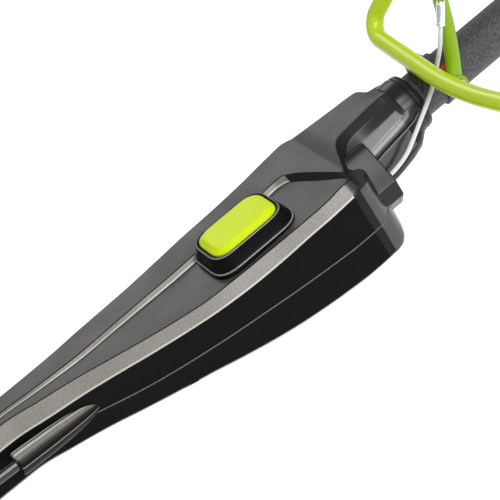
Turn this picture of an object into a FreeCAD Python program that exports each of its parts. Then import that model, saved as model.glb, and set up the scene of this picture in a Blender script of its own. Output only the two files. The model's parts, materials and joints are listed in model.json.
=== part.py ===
# Cordless string trimmer: rear power handle, shaft tube with loop handle, pivoting motor head.
# The model is drawn about the shaft tube's axis: X runs along the tube towards the head with
# X = 0 at the front rim of the tube's collar, Y points to the right of the shaft and Z up.
# export() then moves every piece so that the origin is below the middle, on the floor.
import FreeCAD, Part
import math
import os

V = FreeCAD.Vector
X_AXIS = V(1, 0, 0)
Y_AXIS = V(0, 1, 0)
Z_AXIS = V(0, 0, 1)

# Driving dimensions, millimetres
TUBE_R = 13.0              # shaft tube, outer radius
TUBE_WALL = 1.5
WALL = 2.5                 # moulded shells
SLIP = 0.4                 # gap round parts that slide
FIT = 0.04                 # radial gap round pins and shafts
LOOSE_FIT = 0.2            # radial gap round the plain steel pins of the clamp
AXIS_HEIGHT = 78.0         # tube axis above the floor
BATTERY_REAR_X = -580.0
DOCK_REAR_X = -465.0
GRIP_REAR_X = -405.0
NECK_REAR_X = -62.0
SHOULDER_X = -52.0
COLLAR_X = -6.0
TUBE_FRONT_X = 800.0
PIVOT_X = 835.0            # tilt axis of the motor head
HEAD_X = 905.0             # spin axis of the spool
HEAD_R = 48.0
GUARD_R = 150.0
GUIDE_REACH = 155.0        # edge guide, ahead of the spin axis
GUIDE_R = 2.0
GUIDE_BEND = 5.0
CENTRE_X = (BATTERY_REAR_X + HEAD_X + GUIDE_REACH) / 2
FLOOR_Z = -AXIS_HEIGHT

# Handle shell: (x, half width of the top, height of the right half of the top, depth below)
CHAMFER_OUT = 5.0
CHAMFER_DOWN = 8.0
STEP_WIDTH = 1.5
HOUSING = [
    (GRIP_REAR_X, 9.5, 17.0, 19.0),
    (-283.0, 9.5, 16.3, 19.0),
    (-240.0, 14.2, 12.9, 24.0),
    (-200.0, 21.7, 9.5, 29.5),
    (-160.0, 28.5, 7.5, 35.0),
    (-120.0, 31.0, 8.3, 41.0),
    (-80.0, 34.0, 10.7, 42.5),
    (-66.0, 33.5, 11.5, 42.0),
    (SHOULDER_X, 24.0, 14.0, 34.0),
]
DOCK = [
    (GRIP_REAR_X, 9.5, 17.0, 19.0),
    (-425.0, 31.0, 22.0, AXIS_HEIGHT),
    (DOCK_REAR_X, 31.0, 22.0, AXIS_HEIGHT),
]
ROOF_BOTTOM = -2.0
ROOF_HALF = 36.0
ROOF_TOP = 22.0
PARTING = [(-600, -10), (-430, -10), (GRIP_REAR_X, -2), (-283, -3), (-240, -9), (-200, -17),
           (-160, -20), (-66, -22), (-55, -18), (-40, 0), (10, 0)]
SCREWS = [(-203, -13), (-203, 13), (-70, -28), (-70, 28), (-440, -22), (-440, 22)]

# Power button
BUTTON = (-122.0, -7.0)    # x, y of its middle
BUTTON_SIZE = (38.0, 26.0)
BUTTON_CORNER = 8.0
BUTTON_TOP = 18.0
BUTTON_FOOT = 9.0
BEZEL_TOP = 15.0
BEZEL_TOP_SIZE = (44.0, 31.0)
BEZEL_BASE_SIZE = (54.0, 40.0)
BOARD_TOP = -8.0
BOARD_THICK = 1.6

# Trigger group
TRIGGER_PIVOT = (-306.0, -9.0)
TRIGGER_HALF = 7.0
PIN_REACH = 11.0
GUARD_ROD_R = 3.0
GUARD_BEND = 9.0

# Loop handle, control lever and cable
BAR_R = 5.0
LOOP_X = 5.5               # foot of the loop's leaning plane
LOOP_Z = TUBE_R + BAR_R + 1.5
LOOP_LEAN = 40.0           # degrees forward from upright
LOOP_HEIGHT = 100.0        # up the leaning plane, to the corners of the top bar
BAND_X = (14.0, 21.0)
BAND_R = 14.8
CLAMP_TURN = -34.0         # degrees about the tube, from level to the ears' direction
EAR_HALF = 4.5
BOLT_REACH = 22.0          # tube axis to bolt axis
BOLT_R = 2.0
LEVER_PIVOT = (16.4, 5.7)
LEVER_Y = -23.0
LEVER_R = 4.1
EYE_HALF = 4.8
EYE_R = 5.4
BOSS_R = 3.2
PIVOT_PIN_R = 2.0
RED_CAP_R = 1.8
CABLE_R = 1.2
GLAND_R = 2.4
CABLE_EXIT = V(-43.0, -28.5, -9.5)
FERRULE = (V(21.3, -30.5, 43.6), V(28.0, -30.5, 55.8))

# Motor head levels
CASE_TOP = 24.0
CASE_SPLIT = -8.0
CASE_BOTTOM = -40.0
SHAFT_R = 4.0
GUARD_PLATE = 3.0
SPOOL_TOP = -45.5
SPOOL_R = 45.0
COVER_TOP = -63.0
COVER_BOTTOM = -67.0
LINE_Z = -54.0
LINE_REACH = 140.0
KNOB_R = 16.0
GUARD_SCREWS = [(HEAD_X - 62, -24), (HEAD_X - 62, 24)]


def box(x0, x1, y0, y1, z0, z1):
    return Part.makeBox(x1 - x0, y1 - y0, z1 - z0, V(x0, y0, z0))


def rod(radius, start, end):
    return Part.makeCylinder(radius, (end - start).Length, start, end - start)


def disc(radius, x, z0, z1, y=0.0):
    return rod(radius, V(x, y, z0), V(x, y, z1))


def ring(outer, inner, start, end):
    reach = (end - start).normalize()
    return rod(outer, start, end).cut(rod(inner, start - reach, end + reach))


def prism(points, depth):
    """Solid from a closed outline of vectors, pushed along the vector depth."""
    return Part.Face(Part.makePolygon(points + points[:1])).extrude(depth)


def side_prism(points, y0, y1):
    return prism([V(x, y0, z) for x, z in points], V(0, y1 - y0, 0))


def rounded_slab(size, corner, x, y, z0, z1):
    """Upright slab with rounded corners, its middle at x, y."""
    length, width = size
    slab = box(x - length / 2, x + length / 2, y - width / 2, y + width / 2, z0, z1)
    upright = [e for e in slab.Edges if abs(e.Vertexes[0].Z - e.Vertexes[1].Z) > 0.1]
    return slab.makeFillet(corner, upright)


def route(points, bends, closed=False):
    """Wire of straight runs joined by tangent arcs, with one radius for each corner."""
    count = len(points)
    corners = range(count) if closed else range(1, count - 1)
    arcs = {}
    for i in corners:
        back = (points[i - 1] - points[i]).normalize()
        ahead = (points[(i + 1) % count] - points[i]).normalize()
        half = back.getAngle(ahead) / 2
        bend = bends[i]
        reach = bend / math.tan(half)
        middle = (back + ahead).normalize() * (bend / math.sin(half) - bend)
        arcs[i] = (points[i] + back * reach, points[i] + middle, points[i] + ahead * reach)
    edges = []
    for i in range(count if closed else count - 1):
        j = (i + 1) % count
        start = arcs[i][2] if i in arcs else points[i]
        end = arcs[j][0] if j in arcs else points[j]
        edges.append(Part.LineSegment(start, end).toShape())
        if j in arcs:
            edges.append(Part.Arc(*arcs[j]).toShape())
    return Part.Wire(edges)


def bar(points, radius, bends, closed=False):
    """Round bar bent along a route."""
    path = route(points, bends, closed)
    first = path.Edges[0]
    tangent = first.tangentAt(first.FirstParameter)
    start = first.valueAt(first.FirstParameter)
    profile = Part.Wire(Part.makeCircle(radius, start, tangent))
    shape = path.makePipeShell([profile], True, False)
    return Part.Solid(shape) if shape.ShapeType == "Shell" else shape


def coil(radius, wire, start, end, turns):
    """Compression spring between two points."""
    length = (end - start).Length
    helix = Part.makeHelix((length - 2 * wire) / turns, length - 2 * wire, radius)
    profile = Part.Wire(Part.makeCircle(wire, V(radius, 0, 0), Y_AXIS))
    spring = Part.Wire(helix).makePipeShell([profile], True, True)
    spring.translate(V(0, 0, wire))
    turn = FreeCAD.Rotation(Z_AXIS, end - start)
    spring.Placement = FreeCAD.Placement(start, turn).multiply(spring.Placement)
    return spring


def fused(shapes):
    return shapes[0].multiFuse(shapes[1:]).removeSplitter()


def group(shapes):
    return Part.makeCompound(shapes)


def export(name, shape):
    moved = shape.copy()
    moved.translate(V(-CENTRE_X, 0, AXIS_HEIGHT))
    moved.exportStep(os.path.join("parts", name + ".step"))


# Handle shells

def housing_section(station, inset):
    """Outline across the handle at one station, moved inwards by inset."""
    x, top_half, top, depth = station
    half = top_half - 0.6 * inset
    side = top_half + CHAMFER_OUT - inset
    high = top - inset
    low = high - min(3.0, depth / 12)
    shoulder = top - CHAMFER_DOWN - 0.4 * inset
    bottom = -depth + inset
    points = [(half, high), (side, shoulder), (side + 1, bottom + 6), (side - 6, bottom),
              (6 - side, bottom), (-side - 1, bottom + 6), (-side, shoulder), (-half, low),
              (-STEP_WIDTH, low), (0, high)]
    return Part.makePolygon([V(x, y, z) for y, z in points + points[:1]])


def housing_loft(stations, inset=0.0):
    return Part.makeLoft([housing_section(s, inset) for s in stations], True, True)


def neck_outside():
    rings = [(NECK_REAR_X, 24.0), (-40.0, 22.5), (-14.0, 21.0), (COLLAR_X, 17.0)]
    wires = [Part.Wire(Part.makeCircle(r, V(x, 0, 0), X_AXIS)) for x, r in rings]
    return Part.makeLoft(wires, True, True)


def dock_roof():
    """Chamfered roof over the battery."""
    side = ROOF_HALF
    top = ROOF_TOP
    points = [(-side, ROOF_BOTTOM), (side, ROOF_BOTTOM), (side, top - CHAMFER_DOWN),
              (side - CHAMFER_OUT, top), (CHAMFER_OUT - side, top), (-side, top - CHAMFER_DOWN)]
    start = BATTERY_REAR_X
    return prism([V(start, y, z) for y, z in points], V(DOCK_REAR_X - start, 0, 0))


def guard_sockets(radius):
    """Round bulges on both sides that hold the ends of the hand guard."""
    return [rod(radius, V(-236, side * 17, -8), V(-289, side * 22, -1)) for side in (-1, 1)]


def battery_rail():
    """T rail under the dock roof that carries the battery."""
    stem = box(BATTERY_REAR_X + 20, DOCK_REAR_X, -12, 12, -10, ROOF_BOTTOM)
    flange = box(BATTERY_REAR_X + 20, DOCK_REAR_X, -20, 20, -14, -10)
    return stem.fuse(flange)


def cable_block():
    """Faceted block on the left shoulder that the control cable comes out of."""
    points = [(-14, 9), (-20, 5), (-33.5, -11), (-33.5, -20), (-25, -30), (-14, -30)]
    return prism([V(CABLE_EXIT.x, y, z) for y, z in points], V(-24, 0, 0))


def neck_pocket():
    """Open pocket on the left of the neck, down to the sleeve round the tube."""
    pocket = box(CABLE_EXIT.x, -13, -60, -3, -3, 40)
    return pocket.cut(rod(TUBE_R + WALL, V(-60, 0, 0), V(0, 0, 0)))


def handle_outside():
    solid = fused([housing_loft(HOUSING), housing_loft(DOCK), neck_outside(), dock_roof(),
                   cable_block(), battery_rail()] + guard_sockets(6.5))
    return solid.cut(neck_pocket())


def handle_hollows():
    cavity = HOUSING[:-1]
    dock = DOCK[:-1] + [(DOCK_REAR_X + WALL,) + DOCK[-1][1:]]
    roof = box(BATTERY_REAR_X + WALL, DOCK_REAR_X + 10, -28, 28, ROOF_BOTTOM + WALL,
               ROOF_TOP - WALL)
    hollows = [housing_loft(cavity, WALL), housing_loft(dock, WALL), roof]
    hollows.append(rod(TUBE_R + FIT, V(SHOULDER_X, 0, 0), V(0, 0, 0)))
    hollows.append(rod(TUBE_R - TUBE_WALL, V(NECK_REAR_X - 5, 0, 0), V(SHOULDER_X, 0, 0)))
    hollows.append(rod(GLAND_R + FIT, CABLE_EXIT - V(30, 0, 0), CABLE_EXIT + V(10, 0, 0)))
    x, z = TRIGGER_PIVOT
    hollows.append(box(x - 50, x + 8, -TRIGGER_HALF - SLIP, TRIGGER_HALF + SLIP, -40, z - 4))
    hollows.append(box(-331.4, -314.6, -5.4, 5.4, 5, 30))
    hollows.append(rounded_slab((40, 28), 8, *BUTTON, -5, 30))
    hollows.append(box(DOCK_REAR_X - 5, DOCK_REAR_X + 8, -24, 24, -40, -16))
    return hollows + guard_sockets(GUARD_ROD_R + FIT)


def board_posts():
    return [disc(3, x, -45, BOARD_TOP - BOARD_THICK, y) for x in (-180, -84) for y in (-15, 15)]


def inner_posts():
    """Screw bosses, trigger pin bosses, switch ribs and the trigger spring's seat."""
    posts = [disc(5, x, FLOOR_Z, 25, y) for x, y in SCREWS]
    x, z = TRIGGER_PIVOT
    for side in (-1, 1):
        y0, y1 = sorted((side * (TRIGGER_HALF + SLIP), side * 14))
        posts.append(rod(4.5, V(x, y0, z), V(x, y1, z)))
        y0, y1 = sorted((side * 6, side * 14))
        posts.append(box(x - 25, x - 7, y0, y1, z + 11, z + 15))
    posts.append(box(x - 41, x - 31, -7, 7, z + 18, z + 30))
    return posts


def screw_holes():
    holes = [disc(1.8 + FIT, x, -90, 6, y) for x, y in SCREWS]
    holes += [disc(3.4, x, -90, screw_head(x), y) for x, y in SCREWS]
    x, z = TRIGGER_PIVOT
    return holes + [rod(2 + FIT, V(x, -PIN_REACH - 0.2, z), V(x, PIN_REACH + 0.2, z))]


def screw_head(x):
    """Height of the seat of the shell screw's head."""
    return -60.0 if x < -400 else -20.0


def make_handle():
    outside = handle_outside()
    solid = outside
    for hollow in handle_hollows():
        solid = solid.cut(hollow)
    solid = fused([solid] + [post.common(outside) for post in inner_posts()])
    for hole in screw_holes():
        solid = solid.cut(hole)
    below = side_prism([(-600, -200)] + PARTING + [(10, -200)], -80, 80)
    export("upper_shell", solid.cut(below))
    lower = [solid.common(below)] + [post.common(outside) for post in board_posts()]
    export("lower_shell", fused(lower))
    screws = []
    for x, y in SCREWS:
        seat = screw_head(x)
        screws.append(disc(1.8, x, seat, 5, y).fuse(disc(3.2, x, seat - 2.5, seat, y)))
    export("shell_screws", group(screws))
    return outside


def make_front_collar():
    export("front_collar", ring(16, TUBE_R + FIT, V(COLLAR_X, 0, 0), V(0, 0, 0)))
    gland = ring(GLAND_R, CABLE_R + FIT, CABLE_EXIT - V(12, 0, 0), CABLE_EXIT)
    export("cable_gland", gland)


# Power button and electronics

def make_power_button(outside):
    x, y = BUTTON
    base = [V(x + sx * BEZEL_BASE_SIZE[0] / 2, y + sy * BEZEL_BASE_SIZE[1] / 2, 1)
            for sx, sy in ((-1, -1), (1, -1), (1, 1), (-1, 1))]
    top = [V(x + sx * BEZEL_TOP_SIZE[0] / 2, y + sy * BEZEL_TOP_SIZE[1] / 2, BEZEL_TOP)
           for sx, sy in ((-1, -1), (1, -1), (1, 1), (-1, 1))]
    wires = [Part.makePolygon(corners + corners[:1]) for corners in (base, top)]
    bezel = Part.makeLoft(wires, True, True).cut(outside)
    opening = (BUTTON_SIZE[0] + 2 * SLIP, BUTTON_SIZE[1] + 2 * SLIP)
    export("button_bezel", bezel.cut(rounded_slab(opening, BUTTON_CORNER, x, y, -5, 30)))
    cap = rounded_slab(BUTTON_SIZE, BUTTON_CORNER, x, y, BUTTON_FOOT, BUTTON_TOP)
    rim = [e for e in cap.Edges if min(v.Z for v in e.Vertexes) > BUTTON_TOP - 0.1]
    cap = cap.makeChamfer(2.5, rim)
    stem = disc(4, x, 2.0, BUTTON_FOOT, y)
    export("power_button", cap.fuse(stem).removeSplitter())
    export("button_spring", coil(5.5, 0.4, V(x, y, -1.0), V(x, y, BUTTON_FOOT), 4))
    switch = box(x - 8, x + 8, y - 7, y + 7, BOARD_TOP, -1.0)
    export("button_switch", switch.fuse(disc(2, x, -1.0, -0.6, y)))


def make_electronics():
    board = box(-190, -74, -21, 21, BOARD_TOP - BOARD_THICK, BOARD_TOP)
    export("controller_board", board)
    base = BOARD_TOP - BOARD_THICK
    sink = [box(-165, -100, -11, 11, base - 3, base)]
    sink += [box(-165, -100, y - 0.8, y + 0.8, base - 15, base - 3) for y in range(-10, 11, 4)]
    export("heat_sink", fused(sink))
    export("capacitor", rod(5.5, V(-96, 12, BOARD_TOP + 5.5), V(-76, 12, BOARD_TOP + 5.5)))
    lead = rod(2.8, V(-74, 0, -8.6), V(TUBE_FRONT_X - 15, 0, -8.6))
    export("motor_lead", lead)
    blades = [box(DOCK_REAR_X - 12, DOCK_REAR_X, y - 0.8, y + 0.8, -34, -22)
              for y in (-15, -5, 5, 15)]
    block = box(DOCK_REAR_X, DOCK_REAR_X + 7, -23.5, 23.5, -39.5, -16.5)
    export("terminal_block", fused([block] + blades))


# Grip and trigger

def make_grip():
    inner = housing_loft([(-398, 9.5, 17.0, 19.0), (-362, 9.5, 16.8, 19.0)])
    outer = housing_loft([(-398, 9.5, 17.0, 19.0), (-362, 9.5, 16.8, 19.0)], -1.5)
    export("grip_sleeve", outer.cut(inner))
    path = [V(-246, 17.95, -6.7), V(-289, 22.0, -1.0), V(-312, 24.2, 2.0), V(-330, 30, -62),
            V(-398, 30, -68)]
    mirrored = [V(p.x, -p.y, p.z) for p in reversed(path)]
    export("hand_guard", bar(path + mirrored, GUARD_ROD_R, [GUARD_BEND] * 10))


def make_trigger():
    x, z = TRIGGER_PIVOT
    outline = [(x + 5, z + 4), (x + 5, z - 5), (x - 8, z - 12), (x - 24, z - 20), (x - 34, z - 24),
               (x - 42, z - 22), (x - 42, z - 2), (x - 30, z + 1)]
    blade = side_prism(outline, -TRIGGER_HALF, TRIGGER_HALF)
    pin_start = V(x, -PIN_REACH, z)
    pin_end = V(x, PIN_REACH, z)
    export("trigger", blade.cut(rod(2 + FIT, pin_start, pin_end)))
    export("trigger_pin", rod(2, pin_start, pin_end))
    spring_x = x - 36
    export("trigger_spring", coil(3.2, 0.4, V(spring_x, 0, z + 0.4), V(spring_x, 0, z + 18), 6))
    export("trigger_switch", box(x - 27, x - 5, -6, 6, z + 8, z + 18))
    cap = box(-331, -315, -5, 5, 12.5, 21)
    rim = [e for e in cap.Edges if min(v.Z for v in e.Vertexes) > 20.9]
    export("lock_off_button", cap.makeChamfer(1.5, rim))
    export("lock_off_spring", coil(3.0, 0.4, V(-323, 0, z + 18), V(-323, 0, 12.5), 2.5))


# Battery

def make_battery():
    front = DOCK_REAR_X - SLIP
    case = box(BATTERY_REAR_X + 4, front, -36, 36, FLOOR_Z, ROOF_BOTTOM - SLIP)
    along = [e for e in case.Edges if abs(e.Vertexes[0].X - e.Vertexes[1].X) > 1]
    case = case.makeChamfer(4, along)
    start = BATTERY_REAR_X + 20 - SLIP
    slot = box(start, front + 1, -12 - SLIP, 12 + SLIP, -10 - SLIP, 0)
    slot = slot.fuse(box(start, front + 1, -20 - SLIP, 20 + SLIP, -14 - SLIP, -10 + SLIP))
    case = case.cut(slot)
    case = case.cut(box(front - 14, front + 1, -18, 18, -36, -20))
    case = case.cut(box(BATTERY_REAR_X + 8, front - 16, -33, 33, FLOOR_Z + 3, -18))
    latch_x = BATTERY_REAR_X + 4
    case = case.cut(box(latch_x - 1, latch_x + 5, -12 - SLIP, 12 + SLIP, -14, 0))
    export("battery_case", case)
    cells = []
    for row in range(3):
        for side in (-1, 0, 1):
            z = FLOOR_Z + 13 + 18.6 * row
            cells.append(rod(9.1, V(BATTERY_REAR_X + 18, 18.8 * side, z),
                             V(BATTERY_REAR_X + 83, 18.8 * side, z)))
    export("battery_cells", group([c for c in cells if c.BoundBox.ZMax < -18]))
    latch = box(latch_x - 2, latch_x + 2, -12, 12, -13, -3)
    export("battery_latch", latch)
    springs = [coil(2.6, 0.4, V(latch_x + 2, y, -8), V(latch_x + 5, y, -8), 1.5)
               for y in (-7, 7)]
    export("latch_springs", group(springs))


# Loop handle, lever and control cable

def make_loop_handle():
    lean = math.radians(LOOP_LEAN)
    corners = [V(LOOP_X + rise * math.sin(lean), y, LOOP_Z + rise * math.cos(lean))
               for y, rise in ((43, 9), (-50, -1.5), (-124, 8), (-70, LOOP_HEIGHT),
                               (-9, LOOP_HEIGHT))]
    loop = bar(corners, BAR_R, [10, 250, 14, 24, 24], closed=True)
    export("loop_handle", loop)
    return loop


def make_clamp(loop):
    """Split band round the tube; the bolt and knob pull its two ears together."""
    x0, x1 = BAND_X
    middle = (x0 + x1) / 2
    knob_top = -EAR_HALF - 0.2
    tube = rod(TUBE_R + FIT, V(x0 - 20, 0, 0), V(x1 + 20, 0, 0))
    ears = box(x0, x1, 8, BOLT_REACH + EAR_HALF, -EAR_HALF, EAR_HALF)
    ears = ears.cut(box(x0 - 1, x1 + 1, 8, BOLT_REACH + 10, -0.8, 0.8))
    ears = ears.cut(disc(BOLT_R + FIT, middle, -10, 10, BOLT_REACH))
    band = rod(BAND_R, V(x0, 0, 0), V(x1, 0, 0))
    band = band.cut(box(x0 - 1, x1 + 1, 8, BAND_R + 1, -0.8, 0.8)).fuse(ears)
    bolt = disc(BOLT_R, middle, knob_top - 5.5, EAR_HALF, BOLT_REACH)
    bolt = bolt.fuse(disc(3.4, middle, EAR_HALF, EAR_HALF + 2.5, BOLT_REACH))
    knob = disc(6, middle, knob_top - 5, knob_top, BOLT_REACH)
    knob = knob.cut(disc(BOLT_R + LOOSE_FIT, middle, -20, 0, BOLT_REACH))
    for i in range(6):
        angle = math.radians(60 * i)
        groove = disc(1.6, middle + 6.6 * math.cos(angle), -20, 0,
                      BOLT_REACH + 6.6 * math.sin(angle))
        knob = knob.cut(groove)
    for shape in (band, bolt, knob):
        shape.rotate(V(0, 0, 0), X_AXIS, CLAMP_TURN)
    x, z = LEVER_PIVOT
    boss = rod(BOSS_R, V(x, LEVER_Y + EYE_HALF + 0.6, z), V(x, -12, z))
    saddle = box(LOOP_X + 0.5, x0 + 2, -5, 5, 11, LOOP_Z - 1).cut(loop)
    clamp = fused([band, boss, saddle]).cut(tube)
    export("tube_clamp", clamp.cut(rod(PIVOT_PIN_R + FIT, V(x, -40, z), V(x, -13.5, z))))
    export("clamp_bolt", bolt)
    export("clamp_knob", knob)
    outward = V(0, -11.9, 10.1).normalize()
    foot = V(x1 - RED_CAP_R, 0, 0) + outward * (BAND_R - 1)
    cap = rod(RED_CAP_R, foot, foot + outward * 2.8)
    export("red_cap", cap.cut(rod(BAND_R, V(0, 0, 0), V(x1 + 10, 0, 0))))


def make_control_lever():
    x, z = LEVER_PIVOT
    foot = V(x, LEVER_Y, z)
    eye = rod(EYE_R, foot - V(0, EYE_HALF, 0), foot + V(0, EYE_HALF, 0))
    arm = bar([foot, foot + V(9.1, 0, 22.3), foot + V(23.9, 0, 84.3), foot + V(23.9, -42, 84.3)],
              LEVER_R, [0, 200, 14])
    along = (FERRULE[1] - FERRULE[0]).normalize()
    lug_start = FERRULE[0] + along * 7
    lug = rod(2, lug_start, lug_start + V(7, 7.5, 0))
    lever = fused([eye, arm, lug]).cut(rod(2.5, FERRULE[0], FERRULE[1]))
    hole = rod(PIVOT_PIN_R + LOOSE_FIT, foot - V(0, 9, 0), foot + V(0, 9, 0))
    export("control_lever", lever.cut(hole))
    head = foot - V(0, EYE_HALF + 0.2, 0)
    pin = rod(PIVOT_PIN_R, head, V(x, -13.7, z))
    export("lever_pin", pin.fuse(rod(3.4, head - V(0, 1.4, 0), head)))
    export("cable_ferrule", rod(2.5, FERRULE[0], FERRULE[1]))


def make_control_cable():
    """Braided cable from its gland, under the loop's bar, to the ferrule on the lever."""
    along = (FERRULE[1] - FERRULE[0]).normalize()
    points = [CABLE_EXIT - V(10, 0, 0), CABLE_EXIT + V(9, 0, 0), V(-14.3, -23.3, -0.6),
              V(6.5, -16.5, 8), V(14, -19.5, 20), FERRULE[0] - along * 10, FERRULE[0]]
    bends = [0]
    for before, here, after in zip(points, points[1:], points[2:]):
        turn = (here - before).getAngle(after - here)
        shorter = min((here - before).Length, (after - here).Length)
        bends.append(0.45 * shorter / math.tan(turn / 2))
    cable = bar(points, CABLE_R, bends)
    length = route(points, bends).Length
    print("control cable length", round(length, 1), "radii", [round(b, 1) for b in bends[1:]],
          "volume ratio", round(cable.Volume / (math.pi * CABLE_R ** 2 * length), 4))
    export("control_cable", cable)


# Shaft

def make_shaft():
    tube = ring(TUBE_R, TUBE_R - TUBE_WALL, V(SHOULDER_X, 0, 0), V(TUBE_FRONT_X, 0, 0))
    export("shaft_tube", tube)
    x = 120.0
    band = ring(17, TUBE_R + FIT, V(x - 7, 0, 0), V(x + 7, 0, 0))
    lug = box(x - 7, x + 7, -3, 3, 15, 30).fuse(rod(10, V(x, -3, 29), V(x, 3, 29)))
    hanger = fused([band, lug.cut(rod(TUBE_R + 1, V(x - 9, 0, 0), V(x + 9, 0, 0)))])
    export("strap_hanger", hanger.cut(rod(5, V(x, -5, 29), V(x, 5, 29))))


# Motor head

def make_neck():
    sleeve = ring(18, TUBE_R + FIT, V(TUBE_FRONT_X - 45, 0, 0), V(TUBE_FRONT_X, 0, 0))
    plug = rod(18, V(TUBE_FRONT_X, 0, 0), V(TUBE_FRONT_X + 10, 0, 0))
    tongue = box(TUBE_FRONT_X + 5, PIVOT_X, -13.5, 13.5, -13, 13)
    knuckle = rod(13, V(PIVOT_X, -13.5, 0), V(PIVOT_X, 13.5, 0))
    bore = rod(SHAFT_R + FIT, V(PIVOT_X, -20, 0), V(PIVOT_X, 20, 0))
    export("head_neck", fused([sleeve, plug, tongue, knuckle]).cut(bore))
    pin = rod(SHAFT_R, V(PIVOT_X, -15.5, 0), V(PIVOT_X, 20.5, 0))
    export("pivot_pin", pin.fuse(rod(7, V(PIVOT_X, 20.5, 0), V(PIVOT_X, 23, 0))))


def turned(outline, x):
    """Solid of revolution about the upright axis at x, from (radius, height) points."""
    face = prism([V(x + r, 0, z) for r, z in outline], V(0, 0.001, 0)).Faces
    flat = max(face, key=lambda f: f.Area)
    return flat.revolve(V(x, 0, 0), Z_AXIS, 360)


def cheeks(side_inner, side_outer):
    """Two plates that hold the head on the neck's knuckle."""
    plates = []
    for side in (-1, 1):
        y0, y1 = sorted((side * side_inner, side * side_outer))
        plate = box(PIVOT_X, HEAD_X - 36, y0, y1, -15, 15)
        plates.append(plate.fuse(rod(15, V(PIVOT_X, y0, 0), V(PIVOT_X, y1, 0))))
    return plates


def make_head_case():
    shell = turned([(0, CASE_TOP), (30, CASE_TOP), (42, 18), (HEAD_R, 6), (HEAD_R, CASE_BOTTOM),
                    (0, CASE_BOTTOM)], HEAD_X)
    hollow = turned([(0, CASE_TOP - WALL), (29, CASE_TOP - WALL), (40, 16.5), (HEAD_R - 3, 5),
                     (HEAD_R - 3, CASE_BOTTOM + 4), (0, CASE_BOTTOM + 4)], HEAD_X)
    flange = box(HEAD_X - 72, HEAD_X - 40, -34, 34, CASE_BOTTOM, CASE_BOTTOM + 4)
    hub = disc(10, HEAD_X, CASE_BOTTOM + 4, -4)
    case = fused([shell.cut(hollow), flange.cut(hollow)] + cheeks(14.2, 20))
    case = case.cut(disc(5.5, HEAD_X, CASE_BOTTOM - 1, CASE_BOTTOM + 5))
    case = case.cut(rod(SHAFT_R + FIT, V(PIVOT_X, -16, 0), V(PIVOT_X, 30, 0)))
    case = case.cut(rod(9.4, V(PIVOT_X, -30, 0), V(PIVOT_X, -15.8, 0)))
    for x, y in GUARD_SCREWS:
        case = case.cut(disc(2.1, x, CASE_BOTTOM - 1, CASE_BOTTOM + 5, y))
    for side in (-1, 1):
        start = V(HEAD_X, side * 44, -22)
        boss = rod(6, start, V(HEAD_X, side * 51, -22)).cut(hollow)
        case = case.fuse(boss).cut(rod(2 + FIT, start, V(HEAD_X, side * 60, -22)))
    above = box(PIVOT_X - 30, HEAD_X + 60, -60, 60, CASE_SPLIT, 60)
    knuckles = box(PIVOT_X - 30, HEAD_X - HEAD_R + 1, -60, 60, -30, 60)
    export("head_upper", case.common(above).cut(knuckles))
    lower = fused([case.cut(above.cut(knuckles)), hub.cut(disc(8, HEAD_X, CASE_BOTTOM + 4, 0))])
    export("head_lower", lower)
    button = rod(9, V(PIVOT_X, -24, 0), V(PIVOT_X, -19.2, 0))
    rim = [e for e in button.Edges if max(v.Y for v in e.Vertexes) < -23.9]
    export("tilt_button", button.makeChamfer(1.2, rim))


def make_motor():
    stator = ring(22, 10, V(HEAD_X, 0, -26), V(HEAD_X, 0, -6))
    for i in range(12):
        angle = math.radians(30 * i + 15)
        x = HEAD_X + 17 * math.cos(angle)
        y = 17 * math.sin(angle)
        stator = stator.cut(disc(2.2, x, -27, -5, y))
    export("stator", stator)
    bell = disc(27, HEAD_X, -27, 4).cut(disc(24, HEAD_X, -28, 0))
    export("rotor", bell.cut(disc(SHAFT_R, HEAD_X, -1, 5)))
    export("motor_shaft", disc(SHAFT_R, HEAD_X, SPOOL_TOP - 8, 4))
    bearings = [ring(8, SHAFT_R + FIT, V(HEAD_X, 0, z), V(HEAD_X, 0, z + 6)) for z in (-36, -10)]
    export("bearings", group(bearings))


def make_guard():
    top = CASE_BOTTOM
    sector = disc(GUARD_R, HEAD_X, top - GUARD_PLATE, top)
    skirt = ring(GUARD_R, GUARD_R - 3, V(HEAD_X, 0, FLOOR_Z), V(HEAD_X, 0, top))
    wedge = [V(HEAD_X + 10, 0, -100), V(HEAD_X - 40, 200, -100), V(HEAD_X - 200, 200, -100),
             V(HEAD_X - 200, -200, -100), V(HEAD_X - 40, -200, -100)]
    rear = prism(wedge, V(0, 0, 200))
    guard = fused([sector.fuse(disc(HEAD_R, HEAD_X, top - GUARD_PLATE, top)), skirt])
    guard = guard.common(rear.fuse(disc(HEAD_R, HEAD_X, -100, 100)))
    ribs = [box(HEAD_X - GUARD_R + 4, HEAD_X - 52, y - 1.5, y + 1.5, top - 6, top)
            for y in (-40, 40)]
    guard = fused([guard] + ribs).cut(disc(12, HEAD_X, top - 10, top + 1))
    for x, y in GUARD_SCREWS:
        guard = guard.cut(disc(1.8, x, top - 10, top + 1, y))
    export("guard", guard)
    screws = [disc(1.8, x, top - GUARD_PLATE, top + 4, y).fuse(disc(3.6, x, top + 4, top + 6.5, y))
              for x, y in GUARD_SCREWS]
    export("guard_screws", group(screws))
    blade = box(3 - GUARD_R, 6.5 - GUARD_R, -12, 12, LINE_Z - 10, CASE_BOTTOM - GUARD_PLATE)
    blade.rotate(V(0, 0, 0), Z_AXIS, -70)
    blade.translate(V(HEAD_X, 0, 0))
    export("line_cutter", blade.cut(skirt))


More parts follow.
